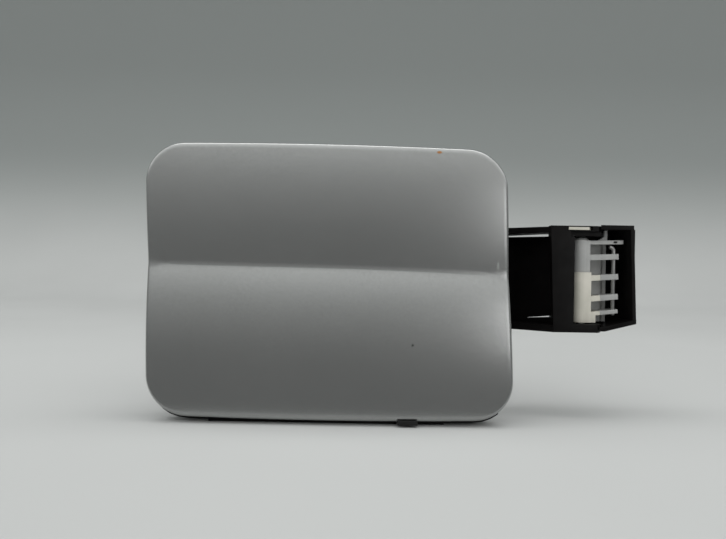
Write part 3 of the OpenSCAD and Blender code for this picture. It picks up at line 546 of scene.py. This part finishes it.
def backdrop_material():
    """Matt studio surface, pale on the floor and deeper up the wall."""
    g = Graph("pale_backdrop")
    g.set(Roughness=STAGE_ROUGH)
    place = g.place()
    height = g.node("ShaderNodeSeparateXYZ")
    g.link(place, height.inputs[0])
    tones = (FLOOR_TONE, [c * FLOOR_CLOUD for c in FLOOR_TONE])
    floor = g.tones(g.noise(place, FLOOR_CLOUD_SCALE), SOFT_STOPS, tones)
    rise = g.node("ShaderNodeMapRange", interpolation_type="SMOOTHSTEP")
    g.link(height.outputs["Z"], rise.inputs["Value"])
    rise.inputs["From Min"].default_value = FLOOR_Z
    rise.inputs["From Max"].default_value = FLOOR_Z + WALL_RISE
    g.link(g.mix(rise.outputs["Result"], floor, WALL_TONE), g.shader.inputs["Base Color"])
    return g.material


def dress(piece, material):
    """Gives a piece one material."""
    piece.data.materials.clear()
    piece.data.materials.append(material)


def build_plastics():
    """Black, grey and cream mouldings, rubber and foam, with rounded edges."""
    materials = {name: plastic_material(name, **looks) for name, looks in PLASTICS.items()}
    for node, slot, material, width in MOULDINGS:
        dress(softened(node, width, node + "_moulded"), materials[material])


def build_metal():
    """Screws, washers, pin, striker, sleeves and spring."""
    materials = {name: steel_material(name, **looks) for name, looks in STEELS.items()}
    for node, slot, material, width in METAL_PIECES:
        dress(softened(node, width, node + "_turned"), materials[material])


def add_stage(name, profile, material):
    """A sheet of the stage, drawn along X from a profile of depths and heights."""
    bm = bmesh.new()
    rows = [[bm.verts.new((x, y, z)) for x in (-FLOOR_HALF, FLOOR_HALF)] for y, z in profile]
    for low, high in zip(rows, rows[1:]):
        bm.faces.new((low[0], low[1], high[1], high[0]))
    sheet = mesh_object(name, bm)
    dress(sheet, material)
    return sheet


def build_stage():
    """Floor that sweeps up into a backdrop, and its front part, which the paint doesn't mirror."""
    material = backdrop_material()
    profile = [(FLOOR_NEAR, FLOOR_Z)]
    profile += [(SWEEP_Y + SWEEP_R * math.sin(turn), FLOOR_Z + SWEEP_R * (1 - math.cos(turn)))
                for turn in quarter_turn(SWEEP_STEPS)]
    profile.append((SWEEP_Y + SWEEP_R, FLOOR_Z + FLOOR_HALF))
    add_stage("backdrop", profile, material)
    front = add_stage("front_floor", [(FLOOR_FRONT, FLOOR_Z), (FLOOR_NEAR, FLOOR_Z)], material)
    front.visible_glossy = False


def add_light(name, place, size, power):
    """A soft rectangular lamp that looks at the door."""
    lamp = bpy.data.lights.new(name, "AREA")
    lamp.shape = "RECTANGLE"
    lamp.size, lamp.size_y = size
    lamp.energy = power
    made = bpy.data.objects.new(name, lamp)
    bpy.context.scene.collection.objects.link(made)
    made.location = place
    made.rotation_euler = (Vector(LAMP_TARGET) - Vector(place)).to_track_quat("-Z", "Y").to_euler()


def build_world():
    """Studio walls that brighten upwards for light and gloss, and a plain tone for the camera."""
    world = bpy.data.worlds.new("studio")
    bpy.context.scene.world = world
    world.use_nodes = True
    tree = world.node_tree
    place = tree.nodes.new("ShaderNodeTexCoord")
    parts = tree.nodes.new("ShaderNodeSeparateXYZ")
    rise = tree.nodes.new("ShaderNodeMapRange")
    walls = tree.nodes.new("ShaderNodeValToRGB")
    path = tree.nodes.new("ShaderNodeLightPath")
    shown = tree.nodes.new("ShaderNodeMixRGB")
    rise.inputs["From Min"].default_value = -1
    fill_ramp(walls, [((height + 1) / 2, [level * c for c in WALL_TINT]) for height, level in WALL_LEVELS])
    shown.inputs["Color2"].default_value = (*WORLD_SHOWN, 1)
    tree.links.new(place.outputs["Generated"], parts.inputs[0])
    tree.links.new(parts.outputs["Z"], rise.inputs["Value"])
    tree.links.new(rise.outputs["Result"], walls.inputs["Fac"])
    tree.links.new(path.outputs["Is Camera Ray"], shown.inputs["Fac"])
    tree.links.new(walls.outputs["Color"], shown.inputs["Color1"])
    tree.links.new(shown.outputs["Color"], tree.nodes["Background"].inputs["Color"])


def build_light():
    """A soft lamp above and a low soft window at the right, in front, in a soft studio."""
    for name, place, size, power in LAMPS:
        add_light(name, place, size, power)
    build_world()


def build_camera():
    """The photograph's view: level and square to the door, with a slight roll."""
    lens = bpy.data.cameras.new("photo_camera")
    lens.sensor_width = SENSOR_MM
    lens.lens = SENSOR_MM * FOCAL_PX / IMAGE_W
    lens.clip_start = CLIP_START
    camera = bpy.data.objects.new("photo_camera", lens)
    bpy.context.scene.collection.objects.link(camera)
    upright = Matrix.Rotation(math.pi / 2, 4, "X")
    camera.matrix_world = Matrix.Translation(CAMERA_AT) @ upright @ Matrix.Rotation(-CAMERA_ROLL, 4, "Z")
    bpy.context.scene.camera = camera


bpy.context.scene.view_settings.view_transform = "Standard"
build_camera()
build_skin()
build_plastics()
build_metal()
build_stage()
build_light()
